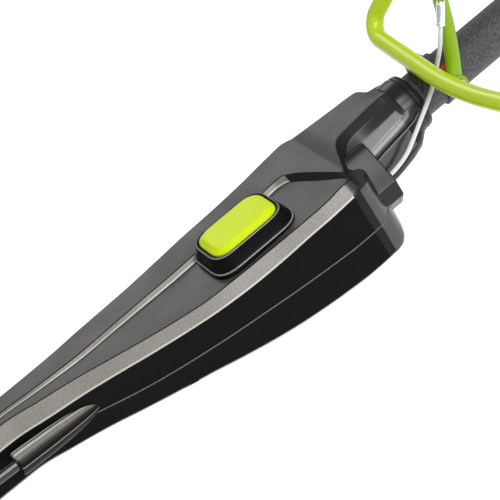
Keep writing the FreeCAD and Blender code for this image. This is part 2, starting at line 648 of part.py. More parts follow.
def make_spool():
    hub_r = 14.0
    cup = disc(SPOOL_R, HEAD_X, COVER_TOP, SPOOL_TOP)
    cup = cup.cut(disc(SPOOL_R - 3, HEAD_X, COVER_TOP - 1, SPOOL_TOP - 3))
    cup = cup.cut(disc(SHAFT_R, HEAD_X, SPOOL_TOP - 4, SPOOL_TOP + 1))
    eyelet = rod(2.5, V(HEAD_X - 60, 0, LINE_Z), V(HEAD_X + 60, 0, LINE_Z))
    export("spool_housing", cup.cut(eyelet))
    reel = disc(hub_r, HEAD_X, COVER_TOP, SPOOL_TOP - 3)
    reel = reel.fuse(disc(39, HEAD_X, SPOOL_TOP - 4.5, SPOOL_TOP - 3))
    reel = reel.fuse(disc(39, HEAD_X, COVER_TOP, COVER_TOP + 1.5))
    reel = reel.cut(disc(10.4, HEAD_X, COVER_TOP - 1, -54.5)).cut(
        disc(SHAFT_R, HEAD_X, -56, SPOOL_TOP))
    export("line_reel", reel.removeSplitter())
    wound = ring(35, hub_r, V(HEAD_X, 0, COVER_TOP + 1.5), V(HEAD_X, 0, SPOOL_TOP - 4.5))
    export("wound_line", wound)
    ends = [rod(1.2, V(HEAD_X + side * 36, 0, LINE_Z), V(HEAD_X + side * LINE_REACH, 0, LINE_Z))
            for side in (-1, 1)]
    export("trimmer_line", group(ends))
    cover = disc(SPOOL_R, HEAD_X, COVER_BOTTOM, COVER_TOP)
    export("spool_cover", cover.cut(disc(KNOB_R + 1, HEAD_X, COVER_BOTTOM - 1, COVER_TOP + 1)))
    knob = disc(KNOB_R, HEAD_X, -75, -68.2)
    rim = [e for e in knob.Edges if max(v.Z for v in e.Vertexes) < -74.9]
    knob = knob.makeChamfer(2, rim).fuse(disc(10, HEAD_X, -68.2, -60))
    export("bump_knob", knob.removeSplitter())
    export("bump_spring", coil(7, 0.5, V(HEAD_X, 0, -60), V(HEAD_X, 0, -54.5), 2))


def make_edge_guide():
    side = [V(HEAD_X, 45, -22), V(HEAD_X, 57, -22), V(HEAD_X + 25, 112, -24),
            V(HEAD_X + 96, 126, -30), V(HEAD_X + GUIDE_REACH - 2, 60, -60)]
    path = side + [V(p.x, -p.y, p.z) for p in reversed(side)]
    export("edge_guide", bar(path, GUIDE_R, [GUIDE_BEND] * 10))


def main():
    os.makedirs("parts", exist_ok=True)
    outside = make_handle()
    make_front_collar()
    make_power_button(outside)
    make_electronics()
    make_grip()
    make_trigger()
    make_battery()
    make_clamp(make_loop_handle())
    make_control_lever()
    make_control_cable()
    make_shaft()
    make_neck()
    make_head_case()
    make_motor()
    make_guard()
    make_spool()
    make_edge_guide()


main()
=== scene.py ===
# Looks of a cordless string trimmer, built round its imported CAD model.
# Shapes are written in millimetres about the shaft tube's axis: x along the tube towards the
# head, y from the near side (with the cable) to the far side, z up. place() turns them into the
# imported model's frame.
import bmesh
import bpy
import json
import math
from collections import namedtuple
from mathutils import Matrix, Vector


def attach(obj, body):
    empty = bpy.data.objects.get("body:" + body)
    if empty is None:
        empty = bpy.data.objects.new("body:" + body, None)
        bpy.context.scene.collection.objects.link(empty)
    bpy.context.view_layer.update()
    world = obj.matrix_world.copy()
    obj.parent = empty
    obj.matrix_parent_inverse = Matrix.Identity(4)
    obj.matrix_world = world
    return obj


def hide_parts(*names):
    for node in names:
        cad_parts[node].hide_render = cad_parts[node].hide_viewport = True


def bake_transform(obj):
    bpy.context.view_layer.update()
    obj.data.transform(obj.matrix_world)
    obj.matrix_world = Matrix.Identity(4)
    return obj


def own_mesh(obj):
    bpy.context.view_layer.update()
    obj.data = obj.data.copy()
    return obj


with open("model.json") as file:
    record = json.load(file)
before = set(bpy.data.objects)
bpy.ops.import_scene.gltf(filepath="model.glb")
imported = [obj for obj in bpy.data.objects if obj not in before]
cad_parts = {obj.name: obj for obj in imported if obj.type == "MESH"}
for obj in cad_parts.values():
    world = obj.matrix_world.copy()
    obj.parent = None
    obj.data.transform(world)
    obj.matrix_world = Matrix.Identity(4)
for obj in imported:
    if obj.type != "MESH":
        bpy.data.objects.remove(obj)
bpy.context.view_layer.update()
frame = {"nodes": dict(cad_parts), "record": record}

CENTRE_X = 240.0
AXIS_HEIGHT = 78.0
MM = 0.001


def place(x, y, z):
    """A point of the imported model's frame, in metres, from millimetres about the tube's axis."""
    return Vector((x - CENTRE_X, y, z + AXIS_HEIGHT)) * MM


# Materials

# A noise texture seldom leaves the middle of its 0-1 range, so the part of it between these
# values is spread over a finish's whole range.
NOISE_LOW = 0.3
NOISE_HIGH = 0.7
TINT_LOW = 0.35
TINT_HIGH = 0.65
FINE_DETAIL = 4.0
LUMP_DETAIL = 3.0
SLOW_DETAIL = 2.0
SLOW_SCALE = 0.05
SHEEN_SPREAD = 0.1
METAL_GRAIN = 0.4
METAL_DEPTH = 0.01
METAL_BRIGHT = 0.8
METAL_DULL = 1.25
BRAID_SCALE = 1.6
BRAID_DEPTH = 0.15


def principled(name, colour, roughness, specular=0.5, metallic=0.0):
    material = bpy.data.materials.new(name)
    material.use_nodes = True
    shader = material.node_tree.nodes["Principled BSDF"]
    shader.inputs["Base Color"].default_value = (*colour, 1)
    shader.inputs["Roughness"].default_value = roughness
    shader.inputs["Specular IOR Level"].default_value = specular
    shader.inputs["Metallic"].default_value = metallic
    return material, shader


def texture(material, kind, scale, detail=FINE_DETAIL):
    """A 3-D texture in the object's own space, its scale in features per millimetre."""
    tree = material.node_tree
    coords = tree.nodes.new("ShaderNodeTexCoord")
    node = tree.nodes.new(kind)
    node.inputs["Scale"].default_value = scale / MM
    if "Detail" in node.inputs:
        node.inputs["Detail"].default_value = detail
    tree.links.new(coords.outputs["Object"], node.inputs["Vector"])
    return node


def add_bump(material, shader, height, depth_mm):
    tree = material.node_tree
    bump = tree.nodes.new("ShaderNodeBump")
    bump.inputs["Distance"].default_value = depth_mm * MM
    tree.links.new(height, bump.inputs["Height"])
    tree.links.new(bump.outputs["Normal"], shader.inputs["Normal"])


def add_range(material, value, socket, low, high):
    """Drives a shader socket from a 0-1 texture value, spread between low and high."""
    tree = material.node_tree
    spread = tree.nodes.new("ShaderNodeMapRange")
    spread.inputs["From Min"].default_value = NOISE_LOW
    spread.inputs["From Max"].default_value = NOISE_HIGH
    spread.inputs["To Min"].default_value = low
    spread.inputs["To Max"].default_value = high
    tree.links.new(value, spread.inputs["Value"])
    tree.links.new(spread.outputs["Result"], socket)


def add_tint(material, value, socket, dark, light):
    """Colours a shader socket between two shades, by a 0-1 texture value."""
    tree = material.node_tree
    ramp = tree.nodes.new("ShaderNodeValToRGB")
    ramp.color_ramp.elements[0].position = TINT_LOW
    ramp.color_ramp.elements[1].position = TINT_HIGH
    ramp.color_ramp.elements[0].color = (*dark, 1)
    ramp.color_ramp.elements[1].color = (*light, 1)
    tree.links.new(value, ramp.inputs["Fac"])
    tree.links.new(ramp.outputs["Color"], socket)


def shade(colour, factor):
    """A darker or lighter colour."""
    return tuple(min(1.0, c * factor) for c in colour)


def moulded(name, colour, roughness, grain=2.0, depth=0.02, specular=0.5, mottle=0.08):
    """Injection-moulded plastic: fine grain in the surface and slow changes in its sheen."""
    material, shader = principled(name, colour, roughness, specular)
    fine = texture(material, "ShaderNodeTexNoise", grain)
    slow = texture(material, "ShaderNodeTexNoise", SLOW_SCALE, SLOW_DETAIL)
    add_bump(material, shader, fine.outputs["Fac"], depth)
    add_range(material, slow.outputs["Fac"], shader.inputs["Roughness"],
              roughness * (1 - SHEEN_SPREAD), roughness * (1 + SHEEN_SPREAD))
    add_tint(material, fine.outputs["Fac"], shader.inputs["Base Color"],
             shade(colour, 1 - mottle), shade(colour, 1 + mottle))
    return material


def textured_coat(name, colour, roughness, cell, depth, light):
    """Coarse wrinkle coat: lumps, with painted shade in their hollows and a painted highlight on
    their crests.
    """
    material, shader = principled(name, colour, roughness, specular=0.4)
    lumps = texture(material, "ShaderNodeTexNoise", cell, LUMP_DETAIL)
    add_bump(material, shader, lumps.outputs["Fac"], depth)
    add_tint(material, lumps.outputs["Fac"], shader.inputs["Base Color"], colour, light)
    return material


def metal(name, colour, roughness):
    """Bare metal, with patches that are a little duller or brighter."""
    material, shader = principled(name, colour, roughness, metallic=1.0)
    grain = texture(material, "ShaderNodeTexNoise", METAL_GRAIN)
    add_range(material, grain.outputs["Fac"], shader.inputs["Roughness"],
              roughness * METAL_BRIGHT, roughness * METAL_DULL)
    add_bump(material, shader, grain.outputs["Fac"], METAL_DEPTH)
    return material


def braided(name, dark, light):
    """Braided sleeve: small rounded cells with dark gaps between them."""
    material, shader = principled(name, light, roughness=0.55, specular=0.3)
    cells = texture(material, "ShaderNodeTexVoronoi", BRAID_SCALE)
    add_bump(material, shader, cells.outputs["Distance"], BRAID_DEPTH)
    add_tint(material, cells.outputs["Distance"], shader.inputs["Base Color"], light, dark)
    return material


LIME = (0.54, 0.68, 0.006)
MOULDED = {
    # Painted light: the housing's black plastic painted grey on the top panels, standing in for
    # their sheen.
    "top_satin": dict(colour=(0.050, 0.0465, 0.0455), roughness=0.46, grain=1.3, specular=0.35,
                      mottle=0.22),
    # Painted highlight: the black plastic painted light on the chamfers and other bands that face
    # the lights.
    "edge_satin": dict(colour=(0.165, 0.155, 0.135), roughness=0.36, grain=1.3, mottle=0.22),
    # Painted highlight lines along the edges of the chamfers and the step.
    "edge_light": dict(colour=(0.42, 0.41, 0.36), roughness=0.3, mottle=0.06),
    # Painted shade: thin black lines in the creases beside the painted highlights, and a dark band
    # on the guard sockets.
    "line_black": dict(colour=(0.006, 0.006, 0.006), roughness=0.5, specular=0.05),
    # Painted shade: a dim copy of the black plastic for the pocket walls and the guard sockets'
    # lower sides.
    "wall_dark": dict(colour=(0.012, 0.0115, 0.011), roughness=0.4, specular=0.10),
    "body_black": dict(colour=(0.005, 0.005, 0.005), roughness=0.55, specular=0.04),
    # Painted highlight along the rounded lip under the lower shell.
    "lip_satin": dict(colour=(0.14, 0.14, 0.14), roughness=0.35),
    # Dim band leading into the painted highlight on the front's rounded corner.
    "corner_dim": dict(colour=(0.006, 0.006, 0.007), roughness=0.3, specular=0.14),
    # Painted highlight: a lighter, glossier copy of the black plastic on the front's rounded
    # corner and along the top of the guard sockets.
    "corner_satin": dict(colour=(0.020, 0.020, 0.022), roughness=0.24, specular=0.7),
    "collar_satin": dict(colour=(0.008, 0.008, 0.009), roughness=0.24, specular=0.28),
    "under_satin": dict(colour=(0.006, 0.006, 0.007), roughness=0.3, specular=0.10),
    "neck_satin": dict(colour=(0.014, 0.014, 0.016), roughness=0.22, specular=0.40),
    "gloss_black": dict(colour=(0.008, 0.008, 0.008), roughness=0.18, depth=0.004),
    # Painted highlight on the button bezel's top rim and on the edge of its base flange.
    "painted_rim_highlight": dict(colour=(0.17, 0.17, 0.17), roughness=0.35),
    "bezel_dark": dict(colour=(0.004, 0.004, 0.004), roughness=0.3, specular=0.05),
    "lime_cap": dict(colour=LIME, roughness=0.36, depth=0.006, specular=0.12, mottle=0.05),
    "lime_coat": dict(colour=(0.44, 0.57, 0.012), roughness=0.22, depth=0.004, mottle=0.05),
    "lime_deep": dict(colour=(0.20, 0.34, 0.003), roughness=0.22, depth=0.004, specular=0.25,
                      mottle=0.05),
    "red_plastic": dict(colour=(0.80, 0.05, 0.01), roughness=0.3, depth=0.004),
    "board": dict(colour=(0.01, 0.12, 0.04), roughness=0.45),
    "lead_sleeve": dict(colour=(0.015, 0.015, 0.015), roughness=0.5),
    "battery_shell": dict(colour=(0.018, 0.018, 0.018), roughness=0.48, depth=0.05),
    "cell_wrap": dict(colour=(0.02, 0.12, 0.30), roughness=0.3),
    "nylon_line": dict(colour=(0.75, 0.80, 0.05), roughness=0.25, depth=0.004),
}
# The light shade of each coat is a painted highlight on the crests of its lumps.
COATED = {
    "tube_coat": dict(colour=(0.022, 0.022, 0.024), roughness=0.55, cell=0.9, depth=0.22,
                      light=(0.075, 0.075, 0.08)),
    "rubber": dict(colour=(0.012, 0.012, 0.012), roughness=0.75, cell=0.6, depth=0.12,
                   light=(0.03, 0.03, 0.03)),
}
METALS = {
    "ferrule_metal": dict(colour=(0.82, 0.83, 0.85), roughness=0.22),
    "steel": dict(colour=(0.55, 0.56, 0.58), roughness=0.3),
    "spring_steel": dict(colour=(0.38, 0.38, 0.40), roughness=0.35),
    "aluminium": dict(colour=(0.75, 0.75, 0.76), roughness=0.35),
    "copper": dict(colour=(0.75, 0.36, 0.18), roughness=0.35),
}
PAINT = {name: moulded(name, **look) for name, look in MOULDED.items()}
PAINT.update({name: textured_coat(name, **look) for name, look in COATED.items()})
PAINT.update({name: metal(name, **look) for name, look in METALS.items()})
PAINT["cable_sleeve"] = braided("cable_sleeve", dark=(0.62, 0.62, 0.62), light=(0.96, 0.96, 0.95))
# Paints of the CAD's material slots that have no paint of the same name, and of single nodes
SLOT_PAINT = {
    "black_shell": "body_black", "bezel_black": "gloss_black", "lime_plastic": "lime_cap",
    "black_rod": "gloss_black",
}
NODE_PAINT = {"tube_clamp": "tube_coat", "control_lever": "lime_deep"}


def paint_cad_nodes():
    """Every CAD node takes the finish of its material slot, or one of its own."""
    slots = {part["node"]: part["material_slot"] for part in frame["record"]["subparts"]}
    for name, node in frame["nodes"].items():
        slot = slots[name]
        node.data.materials.clear()
        node.data.materials.append(PAINT[NODE_PAINT.get(name) or SLOT_PAINT.get(slot, slot)])


# Mesh helpers

def piece(name, points, faces, paints, body, replaces=(), indices=None):
    """A smooth mesh that rides on a body; the indices pick each face's paint."""
    mesh = bpy.data.meshes.new(name)
    mesh.from_pydata(points, [], faces)
    for paint in paints:
        mesh.materials.append(PAINT[paint])
    if indices:
        mesh.polygons.foreach_set("material_index", indices)
    mesh.polygons.foreach_set("use_smooth", [True] * len(faces))
    mesh.update()
    thing = bpy.data.objects.new(name, mesh)
    bpy.context.scene.collection.objects.link(thing)
    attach(thing, body)
    if replaces:
        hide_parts(*replaces)
    return thing


def slopes_of(stations, values):
    """Slopes at the stations for a cubic that never overshoots."""
    steps = [(b - a) / (q - p) for p, q, a, b in
             zip(stations, stations[1:], values, values[1:])]
    slopes = [steps[0]]
    for before, after in zip(steps, steps[1:]):
        level = before * after <= 0
        slopes.append(0.0 if level else 2 * before * after / (before + after))
    return slopes + [steps[-1]]


def smooth_line(points):
    """A smooth function of x through (x, y, z) points, giving (y, z)."""
    stations = [p[0] for p in points]
    tracks = []
    for axis in (1, 2):
        values = [p[axis] for p in points]
        tracks.append((values, slopes_of(stations, values)))

    def at(x):
        x = min(max(x, stations[0]), stations[-1])
        i = min(max(j for j, s in enumerate(stations) if s <= x), len(stations) - 2)
        span = stations[i + 1] - stations[i]
        t = (x - stations[i]) / span
        found = []
        for values, slopes in tracks:
            a = (2 * t ** 3 - 3 * t ** 2 + 1) * values[i]
            b = (t ** 3 - 2 * t ** 2 + t) * span * slopes[i]
            c = (3 * t ** 2 - 2 * t ** 3) * values[i + 1]
            d = (t ** 3 - t ** 2) * span * slopes[i + 1]
            found.append(a + b + c + d)
        return Vector(found)
    return at


# The most of a side that the curve at one of its corners may take
CORNER_SHARE = 0.45


def curved_corners(corners, radii, steps, closed=False):
    """One list of points for each corner: the corner itself, or a small curve round it."""
    count = len(corners)
    groups = []
    for i, corner in enumerate(corners):
        if not radii[i] or not closed and i in (0, count - 1):
            groups.append([corner])
            continue
        before = corners[i - 1] - corner
        after = corners[(i + 1) % count] - corner
        reach = min(radii[i], CORNER_SHARE * before.length, CORNER_SHARE * after.length)
        start = corner + before.normalized() * reach
        end = corner + after.normalized() * reach
        shares = [k / steps for k in range(steps + 1)]
        groups.append([start * (1 - t) ** 2 + corner * 2 * t * (1 - t) + end * t ** 2
                       for t in shares])
    return groups


def grid_faces(rows, columns, wrap=False):
    """Faces between rows of points; wrapped rows are rings."""
    faces = []
    for i in range(rows - 1):
        for j in range(columns if wrap else columns - 1):
            k = (j + 1) % columns
            faces.append((i * columns + j, i * columns + k,
                          (i + 1) * columns + k, (i + 1) * columns + j))
    return faces


def closed_faces(rings, sides):
    """Faces of a stack of rings, with a face across each end."""
    last = (rings - 1) * sides
    ends = [tuple(reversed(range(sides))), tuple(range(last, last + sides))]
    return grid_faces(rings, sides, True) + ends


def ease(x, start, end):
    """Rises smoothly from 0 at the start to 1 at the end."""
    t = min(max((x - start) / (end - start), 0.0), 1.0)
    return t * t * (3 - 2 * t)


def bake(thing):
    """Applies the piece's modifiers, so that its mesh is final."""
    graph = bpy.context.evaluated_depsgraph_get()
    done = bpy.data.meshes.new_from_object(thing.evaluated_get(graph))
    thing.modifiers.clear()
    thing.data = done


def face_out(mesh):
    """Turns the faces of a closed mesh outwards."""
    form = bmesh.new()
    form.from_mesh(mesh)
    bmesh.ops.recalc_face_normals(form, faces=form.faces)
    if form.calc_volume(signed=True) < 0:
        bmesh.ops.reverse_faces(form, faces=form.faces)
    form.to_mesh(mesh)
    form.free()


def thicken(thing, wall):
    """Gives a skin its wall, on the side that the sign of the wall picks."""
    solid = thing.modifiers.new("wall", "SOLIDIFY")
    solid.thickness = wall * MM
    solid.offset = -1.0
    bake(thing)
    face_out(thing.data)


def carve(thing, cutters):
    """Cuts openings with closed pieces, which are then removed."""
    for cutter in cutters:
        cut = thing.modifiers.new("cut", "BOOLEAN")
        cut.object = cutter
        cut.solver = "MANIFOLD"
    bake(thing)
    for cutter in cutters:
        bpy.data.objects.remove(cutter)


def even_normals(thing):
    """Keeps the flat faces beside small curves flat in the shading."""
    weigh = thing.modifiers.new("weigh", "WEIGHTED_NORMAL")
    weigh.keep_sharp = True


SHARP_ANGLE = 35.0
BEVEL_STEPS = 3


def soften(thing, width):
    """Rounds the sharp edges."""
    edge = thing.modifiers.new("edge", "BEVEL")
    edge.width = width * MM
    edge.segments = BEVEL_STEPS
    edge.limit_method = "ANGLE"
    edge.angle_limit = math.radians(SHARP_ANGLE)
    edge.harden_normals = True


def prism(name, outline, span, paint, body, edge):
    """Closed bar of one (y, z) outline between two x stations, with softened edges."""
    points = [place(x, y, z) for x in span for y, z in outline]
    faces = closed_faces(len(span), len(outline))
    thing = piece(name, points, faces, [paint], body)
    face_out(thing.data)
    soften(thing, edge)


TURN_SIDES = 72


def turned(name, start, end, profile, paint, body, slot, replaces=(), sectors=()):
    """Round piece along an axis, from (distance, radius) pairs.

    A sector is (height of the spoke, paint): sides that face lower than it take its paint, so the
    sectors lay painted highlight and painted shade round the piece by how far up each side faces.
    """
    start, end = Vector(start), Vector(end)
    ahead = (end - start).normalized()
    side = ahead.orthogonal().normalized()
    up = ahead.cross(side)
    points = []
    for reach, radius in profile:
        for k in range(TURN_SIDES):
            angle = 2 * math.pi * k / TURN_SIDES
            spoke = side * math.cos(angle) + up * math.sin(angle)
            points.append(place(*(start + ahead * reach + spoke * radius)))
    marks = []
    for k in range(TURN_SIDES):
        angle = 2 * math.pi * (k + 0.5) / TURN_SIDES
        height = side.z * math.cos(angle) + up.z * math.sin(angle)
        marks.append(sum(height < top for top, _ in sectors))
    marks = marks * (len(profile) - 1) + [0, 0]
    paints = [paint] + [low for _, low in sectors]
    faces = closed_faces(len(profile), TURN_SIDES)
    thing = piece(name, points, faces, paints, body, replaces, marks)
    face_out(thing.data)
    even_normals(thing)
    return thing


# Handle housing
# Sections: x, half width of the top, height of the top, drop of the near panel below it, and the
# heights of the chamfer's lower edge, the parting line and the underside.
Station = namedtuple("Station", "x half top drop chamfer parting under")
STATIONS = [Station(*sizes) for sizes in (
    (-580, 31.0, 22.0, 0.6, 14.0, -2.0, -78.0),
    (-465, 31.0, 22.0, 0.6, 14.0, -2.2, -78.0),
    (-464, 31.0, 22.0, 0.6, 14.0, -10.0, -78.0),
    (-425, 31.0, 22.0, 0.6, 14.0, -10.0, -77.0),
    (-405, 9.5, 17.2, 0.6, 8.5, -3.0, -19.0),
    (-283, 9.5, 16.3, 1.0, 6.3, -3.2, -21.2),
    (-260, 11.9, 14.5, 1.4, 4.6, -6.2, -24.0),
    (-240, 14.3, 13.0, 1.8, 3.4, -9.5, -27.0),
    (-220, 18.1, 11.3, 2.1, 2.2, -12.8, -30.2),
    (-200, 21.7, 9.5, 2.4, 0.5, -15.2, -33.2),
    (-180, 25.0, 8.0, 2.7, -0.9, -16.7, -36.0),
    (-160, 28.0, 7.3, 2.9, -1.8, -17.8, -39.5),
    (-140, 29.6, 7.7, 3.0, -2.3, -19.3, -43.2),
    (-120, 31.0, 8.3, 3.0, -1.6, -20.8, -45.8),
    (-100, 32.7, 9.3, 3.0, 0.2, -21.6, -47.0),
    (-80, 34.0, 10.6, 3.0, 1.5, -22.1, -47.4),
)]
CHAMFER = 5.0
UPPER_LEAN = 0.7
LOWER_LEAN = 1.4
BELLY_LEAN = 1.2
# The lower shell starts this far under the parting line, with a ledge this far in.
PARTING_GAP = 0.45
LEDGE = 1.2
UNDER_ROUND = 5.5
UNDER_INSET = 1.5
UNDER_LEAST = 8.5
FAR_FULLNESS = 1.8
FAR_SLIMMING = 2.9
SLIMMING_SPAN = (-150.0, -90.0)
# Behind this station the step is straight; ahead of it the step has closer points, up to its end.
GRIP_END = -283
STEP_END = -88
STEP_SPACING = 8
# The step between the two top panels, as (x, y)
STEP_LINE = [(-580, -1.5), (-283, -1.5), (-240, -1.0), (-226, 0.2), (-213, 2.4), (-199, 4.8),
             (-185, 6.8), (-171, 8.1), (-146, 9.3), (-97, 9.6), (-89, 9.6)]
STEP_WIDTH = 1.8
NEAR_SIDE = -1
FAR_SIDE = 1


def body_row(side, across, height):
    """A row of (x, y, z) along the housing's stations."""
    return [(s.x, side * across(s), height(s)) for s in STATIONS]


def far_half(station):
    """The far side is a little fuller than the near side, except beside the neck."""
    return station.half + FAR_FULLNESS - FAR_SLIMMING * ease(station.x, *SLIMMING_SPAN)


def parting_half(station):
    """Half width at the parting line, where the upper shell leans out a little."""
    return station.half + CHAMFER + UPPER_LEAN


def step_row(shift, height):
    """A row along the step; the height comes from the top and the near panel's drop."""
    line = smooth_line([(x, y, 0.0) for x, y in STEP_LINE])
    tops = smooth_line([(s.x, s.top, s.drop) for s in STATIONS])
    xs = [s.x for s in STATIONS if s.x < GRIP_END] + list(range(GRIP_END, STEP_END, STEP_SPACING))
    return [(x, line(x)[0] + shift, height(*tops(x))) for x in xs]


# How each row of the upper shell goes on, round the front corner and along the neck
NEAR_PARTING = [
    (-64.5, -39.2, -22.3), (-59.5, -38.4, -21.6), (-56, -36.4, -20.3), (-53.6, -33.2, -18.0),
    (-51.6, -28.2, -12.5), (-49.8, -23.5, -6.0), (-47, -21.0, -2.0), (-40, -20.2, -0.6),
    (-14, -19.0, 2.6), (-6, -17.4, 3.6)]
NEAR_CHAMFER = [
    (-68, -38.9, 2.2), (-62, -38.0, 3.1), (-59, -36.3, 2.6), (-56.5, -33.0, 1.6),
    (-54, -28.5, 0.6), (-51, -22.5, 0.5), (-47, -18.2, 2.2), (-40, -16.6, 3.4),
    (-16, -15.8, 6.4), (-12, -15.9, 7.0), (-6, -15.6, 7.0)]
NEAR_TOP = [
    (-69, -34.0, 8.9), (-65.5, -33.2, 8.6), (-63, -31.0, 6.6), (-60, -27.0, 4.0),
    (-57, -22.5, 3.6), (-53, -17.5, 4.6), (-48, -14.0, 6.6), (-40, -12.4, 7.6),
    (-17, -11.9, 9.9), (-12, -12.6, 11.6), (-6, -12.6, 11.5)]
STEP_FOOT = [
    (-84, 5.6, 7.4), (-79, -2.5, 7.8), (-75, -11.0, 8.1), (-71, -18.5, 8.4), (-66.5, -26.0, 8.8),
    (-64, -28.8, 8.2), (-61.5, -25.8, 5.8), (-57, -18.0, 5.8), (-52, -11.5, 8.6),
    (-47, -8.4, 10.9), (-40, -7.4, 11.8), (-18, -6.8, 12.4), (-13, -7.8, 15.1), (-6, -7.4, 15.3)]
STEP_TOP = [
    (-83.5, 8.4, 10.6), (-79.5, 4.2, 10.9), (-76, -1.5, 11.1), (-71, -11.5, 11.2),
    (-66, -21.5, 11.0), (-63.2, -26.0, 10.6), (-60, -20.5, 12.4), (-56, -12.5, 14.8),
    (-53, -8.0, 15.9), (-49, -5.9, 16.3), (-40, -4.6, 16.4), (-19, -2.6, 16.6),
    (-14, -3.2, 16.8), (-6, -3.4, 16.7)]
FAR_TOP = [
    (-70, 32.8, 11.6), (-60, 29.4, 12.9), (-48, 25.6, 14.4), (-36, 23.0, 15.4),
    (-21, 20.0, 16.2), (-17, 13.6, 15.2), (-12, 12.0, 15.0), (-6, 10.6, 14.0)]
FAR_CHAMFER = [
    (-70, 38.4, 4.4), (-60, 33.8, 5.0), (-48, 28.6, 5.6), (-36, 25.2, 5.8), (-21, 21.0, 6.2),
    (-17, 18.4, 6.6), (-12, 16.6, 7.0), (-6, 15.4, 7.0)]
FAR_PARTING = [
    (-70, 38.9, -22.3), (-60, 34.5, -20.0), (-48, 28.9, -6.0), (-36, 25.5, 0.0),
    (-12, 19.6, 2.6), (-6, 17.4, 2.0)]


def upper_rows():
    """Rows of the upper shell, from the near parting line over the top to the far one."""
    near, far = NEAR_SIDE, FAR_SIDE
    return [
        body_row(near, parting_half, lambda s: s.parting) + NEAR_PARTING,
        body_row(near, lambda s: s.half + CHAMFER, lambda s: s.chamfer) + NEAR_CHAMFER,
        body_row(near, lambda s: s.half, lambda s: s.top - s.drop) + NEAR_TOP,
        step_row(-STEP_WIDTH, lambda top, drop: top - drop) + STEP_FOOT,
        step_row(0.0, lambda top, drop: top) + STEP_TOP,
        body_row(far, far_half, lambda s: s.top) + FAR_TOP,
        body_row(far, lambda s: far_half(s) + CHAMFER, lambda s: s.chamfer + s.drop) + FAR_CHAMFER,
        body_row(far, parting_half, lambda s: s.parting) + FAR_PARTING,
    ]


# Corner radius at each row, on the body and on the neck
UPPER_RADII = [(0, 0), (0.8, 1.5), (0.7, 2.5), (0.5, 1.2), (0.45, 1.0), (0.8, 9.0), (0.9, 8.0),
               (0, 0)]
# Paint between two rows, as (first narrow edge, middle, last narrow edge). A tuple of paints has
# one for each zone along x that PAINT_EDGES parts. The narrow edges are painted highlight and
# painted shade lines along the creases, the chamfer and top bands are painted light, and the zones
# by the front carry a painted highlight on the rounded corner.
PAINT_EDGES = (-83.0, -69.0, -64.5, -18.0)
UPPER_STRIPS = [
    (None, ("body_black", "body_black", "corner_dim", "corner_satin", "neck_satin"), None),
    (("edge_light", "edge_light", "corner_dim", "neck_satin", "neck_satin"),
     ("edge_satin", "edge_satin", "corner_satin", "neck_satin", "neck_satin"), None),
    (("line_black", "line_black", "corner_dim", "neck_satin", "neck_satin"),
     ("top_satin", "top_satin", "top_satin", "neck_satin", "neck_satin"),
     ("line_black", "line_black", "line_black", "neck_satin", "neck_satin")),
    (("edge_light", "wall_dark", "wall_dark", "wall_dark", "neck_satin"),
     ("edge_satin", "wall_dark", "wall_dark", "wall_dark", "neck_satin"), None),
    (("line_black", "top_satin", "top_satin", "top_satin", "collar_satin"),
     ("top_satin", "top_satin", "top_satin", "top_satin", "collar_satin"), None),
    (None, ("edge_satin", "edge_satin", "top_satin", "top_satin", "collar_satin"), None),
    (None, ("body_black", "body_black", "corner_dim", "corner_satin", "collar_satin"), None)]

# How each row of the lower shell goes on: x, distance from the middle, and z
LOWER_PARTING = [
    (-64.5, 39.6, -22.8), (-59.5, 38.8, -22.1), (-56, 36.8, -20.8), (-53.6, 33.6, -18.5),
    (-51.6, 28.8, -13.2), (-49.8, 25.0, -7.2), (-47, 22.6, -3.0), (-40, 21.6, -1.8),
    (-14, 20.4, 1.4), (-9, 18.6, 2.2), (-6, 16.6, 2.4)]
LOWER_SIDE_EDGE = [
    (-64, 39.8, -41.8), (-58.6, 39.0, -41.2), (-54.8, 37.0, -39.4), (-52.4, 33.6, -36.0),
    (-50.6, 28.6, -31.0), (-49, 25.5, -20.0), (-45, 24.5, -13.5), (-39, 24.2, -12.8),
    (-23, 21.0, -12.4), (-14, 18.4, -11.8), (-9, 16.4, -9.0), (-6, 15.0, -7.6)]
LOWER_BELLY = [
    (-64, 32.0, -47.2), (-58.6, 31.2, -46.6), (-54.8, 28.8, -44.8), (-52.4, 25.8, -40.4),
    (-50.6, 22.2, -34.6), (-49, 20.0, -27.0), (-45, 19.6, -22.4), (-39, 19.4, -21.4),
    (-23, 15.6, -21.2), (-14, 12.2, -20.4), (-10, 11.0, -17.6), (-6, 10.4, -13.4)]


def on_side(side, row):
    """A row that is given by its distances from the middle."""
    return [(x, side * y, z) for x, y, z in row]


def lower_rows():
    """Rows of the lower shell, from the near ledge under the belly to the far ledge."""
    rows = []
    for side in (NEAR_SIDE, FAR_SIDE):
        parting = body_row(side, lambda s: s.half + CHAMFER + LOWER_LEAN,
                           lambda s: s.parting - PARTING_GAP) + on_side(side, LOWER_PARTING)
        ledge = [(x, y - side * LEDGE, z + PARTING_GAP) for x, y, z in parting]
        low = body_row(side, lambda s: s.half + CHAMFER + BELLY_LEAN,
                       lambda s: s.under + UNDER_ROUND) + on_side(side, LOWER_SIDE_EDGE)
        belly = body_row(side, lambda s: max(s.half - UNDER_INSET, UNDER_LEAST),
                         lambda s: s.under) + on_side(side, LOWER_BELLY)
        rows.append([ledge, parting, low, belly])
    return rows[0] + rows[1][::-1]


LOWER_RADII = [(0, 0), (0.3, 0.3), (1.5, 4.0), (2.5, 4.0), (2.5, 4.0), (1.5, 4.0), (0.3, 0.3),
               (0, 0)]
